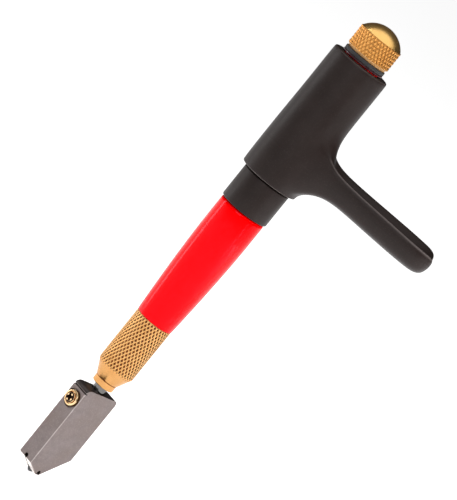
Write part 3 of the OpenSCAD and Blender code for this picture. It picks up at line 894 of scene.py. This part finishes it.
saddleSize = sizeOf("saddle")
collarR = mounts["saddle_collar"]["dims"]["r_mm"]
grip = {
    "segments": 16, "bore": 7.08, "lip": 6.32, "lipHeight": 2.1, "parting": 122.4, "draft": 0.12,
    "bottomRound": 0.7, "topRound": 0.55,
    "rootLow": 113.4, "rootHigh": (129.5, 132.0, 134.0),  # where the arm leaves the collar, edge to middle
    "rootGap": (1.4, 1.2), "bulge": 0.05, "draftTop": 131.0, "collarLow": 139.0, "collarHigh": 147.0,
    "boreRow": 132.0, "hold": 0.3, "lipHold": 0.2,  # a row held this close to an edge keeps it crisp
    "underWide": (0.8, 0.52, 0.18), "underLift": (1.15, 0.3, 0.0),  # shares of the half width, edge to middle
    "sideWide": (1.0, 0.6, 0.2), "rimWide": (1.0, 0.86, 0.3), "rimRise": 0.05,
    "arm": [  # x, x of the underside, half width, rims, trough, underside
        {"x": 10.6, "xUnder": 11.0, "half": 7.7, "rim": 128.6, "trough": 130.0, "under": 115.4},
        {"x": 13.2, "xUnder": 14.2, "half": 7.6, "rim": 127.2, "trough": 125.6, "under": 117.3},
        {"x": 18.0, "xUnder": 19.0, "half": 7.9, "rim": 126.3, "trough": 122.6, "under": 118.3},
        {"x": 29.0, "xUnder": 29.0, "half": 8.9, "rim": 125.8, "trough": 121.7, "under": 117.8},
        {"x": 40.0, "xUnder": 40.0, "half": 10.0, "rim": 125.4, "trough": 121.2, "under": 117.4},
        {"x": 46.0, "xUnder": 46.0, "half": 9.85, "rim": 125.1, "trough": 121.3, "under": 117.3},
        {"x": 49.3, "xUnder": 49.2, "half": 8.8, "rim": 125.0, "trough": 122.6, "under": 117.5},
        {"x": 51.2, "xUnder": 51.0, "half": 7.0, "rim": 124.4, "trough": 123.9, "under": 118.6},
        {"x": 51.65, "xUnder": 51.63, "half": 4.8, "rim": 122.9, "trough": 122.8, "under": 120.3},
    ],
}
segments = grip["segments"]
widen = 3 / (2 + math.cos(math.tau / segments))  # a subdivided ring pulls in, so its cage is drawn wider


def buildSaddle():
    low, top = saddleSize["bottom"], saddleSize["top"]
    lip = top - grip["lipHeight"]
    draft = collarR + grip["draft"]
    hold, lipHold = grip["hold"], grip["lipHold"]
    belowRoot, aboveRoot = grip["rootLow"] - grip["rootGap"][0], grip["rootLow"] + grip["rootGap"][1]
    outside = [
        (collarR - grip["bottomRound"], low), (collarR - 0.12, low + hold), (collarR, belowRoot),
        (draft, aboveRoot), (draft + grip["bulge"], grip["parting"]), (draft, grip["draftTop"]),
        (collarR, grip["collarLow"]), (collarR, grip["collarHigh"]),
        (collarR, top - grip["topRound"] - 0.5), (collarR - 0.1, top - 0.25),
        (collarR - grip["topRound"], top)]
    inside = [
        (grip["lip"] + hold, top), (grip["lip"], top - lipHold), (grip["lip"], lip + lipHold),
        (grip["lip"], lip), (grip["bore"], lip), (grip["bore"], lip - hold), (grip["bore"], grip["boreRow"]),
        (grip["bore"], low + hold), (grip["bore"] + grip["bulge"], low)]
    bm = spinPath([(r * widen, z) for r, z in outside + inside], segments)
    bmesh.ops.rotate(bm, verts=bm.verts, cent=(0, 0, 0), matrix=Matrix.Rotation(math.pi / segments, 3, "Z"))
    rowLayer = bm.verts.layers.int.new("row")
    columnLayer = bm.verts.layers.int.new("column")
    # the arm grows from five faces across and two faces up, so 3 rows of 6 corners
    rowHeights = [outside[3][1], outside[4][1], outside[5][1]]
    between = 360 / segments  # degrees from one corner to the next
    for vert in bm.verts:
        r, z = math.hypot(vert.co.x, vert.co.y) / mm, vert.co.z / mm
        column = round(math.degrees(math.atan2(vert.co.y, vert.co.x)) / between + 2.5)
        rows = [i for i, height in enumerate(rowHeights) if abs(z - height) < slack]
        if rows and 0 <= column <= 5 and r > collarR:
            vert[rowLayer], vert[columnLayer] = rows[0] + 1, column + 1
            lift = grip["rootHigh"][min(column, 5 - column)]
            vert.co.z = {0: grip["rootLow"], 1: z, 2: lift}[rows[0]] * mm
    faces = [face for face in bm.faces if all(vert[rowLayer] for vert in face.verts)]
    for ring in grip["arm"]:
        grown = bmesh.ops.extrude_face_region(bm, geom=faces)["geom"]
        bmesh.ops.delete(bm, geom=faces, context="FACES")
        faces = [item for item in grown if isinstance(item, bmesh.types.BMFace)]
        for vert in [item for item in grown if isinstance(item, bmesh.types.BMVert)]:
            row, column = vert[rowLayer] - 1, vert[columnLayer] - 1
            side = -1 if column < 3 else 1
            near = min(column, 5 - column)  # 0 at the rim, 2 in the middle
            if row == 0:
                x, y = ring["xUnder"], grip["underWide"][near]
                z = ring["under"] + grip["underLift"][near]
            elif row == 1:
                x, y = (ring["x"] + ring["xUnder"]) / 2, grip["sideWide"][near]
                z = (ring["rim"] + ring["under"]) / 2
            else:
                x, y = ring["x"], grip["rimWide"][near]
                z = (ring["rim"], ring["rim"] + grip["rimRise"], ring["trough"])[near]
            vert.co = Vector((x, side * y * ring["half"], z)) * mm
    bmesh.ops.recalc_face_normals(bm, faces=bm.faces)
    return bm


gripPiece = finishPiece(buildSaddle(), "saddleGrip", "saddle", blackSatin(grip["parting"] * mm), ["saddle"],
                        sharp=180)
smooth = gripPiece.modifiers.new("smooth", "SUBSURF")
smooth.levels = smooth.render_levels = 3


# the CAD nodes that are kept, mostly inside, get their own finishes
brassInside = brass("brassInside", (0.84, 0.58, 0.25, 1), (0.2, 0.08, 0.02, 1))
# a much darker copy of the bright steel: painted shade on the stem
stemSteel = brightSteel("stemSteel", (0.16, 0.155, 0.15, 1), (0.08, 0.12), 0.0003)
felt = feltFibre()
for name, material in {
    "nose_seal": rubber, "saddle_ring": rubber, "valve_seal": rubber, "spring_plug": brassInside,
    "spring_washer": brassInside, "stem": stemSteel, "stem_wick": felt, "head_wick": felt,
}.items():
    slots = frame["nodes"][name].data.materials
    slots.clear()
    slots.append(material)
print("CAD nodes finished")


def buildFloor():
    bm = bmesh.new()
    bmesh.ops.create_grid(bm, x_segments=1, y_segments=1, size=studio["floorHalf"])
    mesh = bpy.data.meshes.new("studioFloor")
    bm.to_mesh(mesh)
    bm.free()
    floor = bpy.data.objects.new("studioFloor", mesh)
    bpy.context.scene.collection.objects.link(floor)
    material, tree, shader = newMaterial("lightTable", Roughness=0.9, Specular_IOR_Level=0.1)
    patchColours(tree, shader, (0.8, 0.8, 0.8, 1), (0.84, 0.84, 0.84, 1), Scale=3.0, Cover=0.5, Soft=0.4)
    # the table glows under and behind the tool and fades towards the front
    axes = splitPlace(tree, (-900, -200))
    glow = studioRamp(tree, (-500, -200), axes["Y"], studio["glowEdge"], studio["glow"])
    shine = mixColours(tree, (-300, -200), glow, (0, 0, 0, 1), (1, 1, 1, 1))
    tree.links.new(shine, shader.inputs["Emission Color"])
    shader.inputs["Emission Strength"].default_value = 1
    mesh.materials.append(material)


def addLight(lamp):
    # an unseen lamp fills without showing in glossy surfaces
    data = bpy.data.lights.new(lamp["name"] + "Softbox", "AREA")
    data.shape = "RECTANGLE"
    data.size, data.size_y = lamp["size"]
    data.energy = lamp["power"]
    light = bpy.data.objects.new(data.name, data)
    place, aim = Vector(lamp["place"]), Vector(lamp.get("aim", studio["middle"]))
    light.location = place
    light.rotation_euler = (aim - place).to_track_quat("-Z", "Y").to_euler()
    light.visible_camera = False
    light.visible_glossy = lamp.get("seen", True)
    bpy.context.scene.collection.objects.link(light)


def buildWorld():
    # a dim room, a little brighter behind the tool
    world = bpy.data.worlds.new("studio")
    bpy.context.scene.world = world
    world.use_nodes = True
    tree = world.node_tree
    sky = tree.nodes["Background"]
    sky.inputs["Color"].default_value = (1, 1, 1, 1)
    axes = splitPlace(tree, (-1100, 0), "Generated")
    across = studioRamp(tree, (-600, 150), axes["Y"], studio["roomEdge"], studio["room"])
    tree.links.new(across, sky.inputs["Strength"])


def studioRamp(tree, place, value, source, target):
    ends = {"From Min": source[0], "From Max": source[1], "To Min": target[0], "To Max": target[1]}
    ramp = addNode(tree, "ShaderNodeMapRange", place, ends, interpolation_type="SMOOTHSTEP")
    tree.links.new(value, ramp.inputs["Value"])
    return ramp.outputs[0]


studio = {
    "room": (0.03, 0.05), "roomEdge": (-0.4, 0.7),  # from front to back
    "glow": (0.3, 0.9), "glowEdge": (-0.9, -0.06), "floorHalf": 12,
    "middle": (0, 0, 0.09),
    "lamps": [
        {"name": "left", "place": (-0.218, 0.03, 0.2), "size": (0.04, 0.4), "power": 0.2,
         "aim": (0, 0, 0.2)},
        {"name": "right", "place": (0.21, -0.135, 0.24), "size": (0.012, 0.4), "power": 0.05,
         "aim": (0, 0, 0.24)},
        {"name": "rightFill", "place": (0.5, -0.12, 0.15), "size": (0.3, 0.3), "power": 1.9,
         "seen": False},
        {"name": "front", "place": (-0.15, -1.2, 0.6), "size": (0.8, 0.6), "power": 4.2},
        {"name": "top", "place": (0.0, -0.3, 1.25), "size": (2.4, 1.5), "power": 13.0},
    ],
}
buildFloor()
buildWorld()
for lamp in studio["lamps"]:
    addLight(lamp)

camera = {
    "elevation": 9.5, "azimuth": 0.0, "lean": 38.97,  # the tool's axis leans clockwise in the picture
    "distance": 0.9, "seen": 0.1449,  # length of the picture's long side at the tool
    "height": 0.0853, "right": 0.00495,  # what the picture is centred on
    "sensor": 36,
}


def buildCamera():
    turn, rise, lean = (math.radians(camera[key]) for key in ("azimuth", "elevation", "lean"))
    ahead = Vector((math.sin(turn) * math.cos(rise), math.cos(turn) * math.cos(rise), -math.sin(rise)))
    side = Vector((math.cos(turn), -math.sin(turn), 0))
    over = side.cross(ahead)
    right = side * math.cos(lean) + over * math.sin(lean)
    up = over * math.cos(lean) - side * math.sin(lean)
    data = bpy.data.cameras.new("camera")
    data.sensor_width = camera["sensor"]
    data.lens = camera["sensor"] * camera["distance"] / camera["seen"]
    data.clip_end = 50
    item = bpy.data.objects.new("camera", data)
    bpy.context.scene.collection.objects.link(item)
    aim = Vector((0, 0, camera["height"])) + right * camera["right"]
    item.matrix_world = Matrix.Translation(aim - ahead * camera["distance"]) @ Matrix(
        (right, up, -ahead)).transposed().to_4x4()
    bpy.context.scene.camera = item


buildCamera()
bpy.context.scene.view_settings.view_transform = "Standard"
print("studio ready")
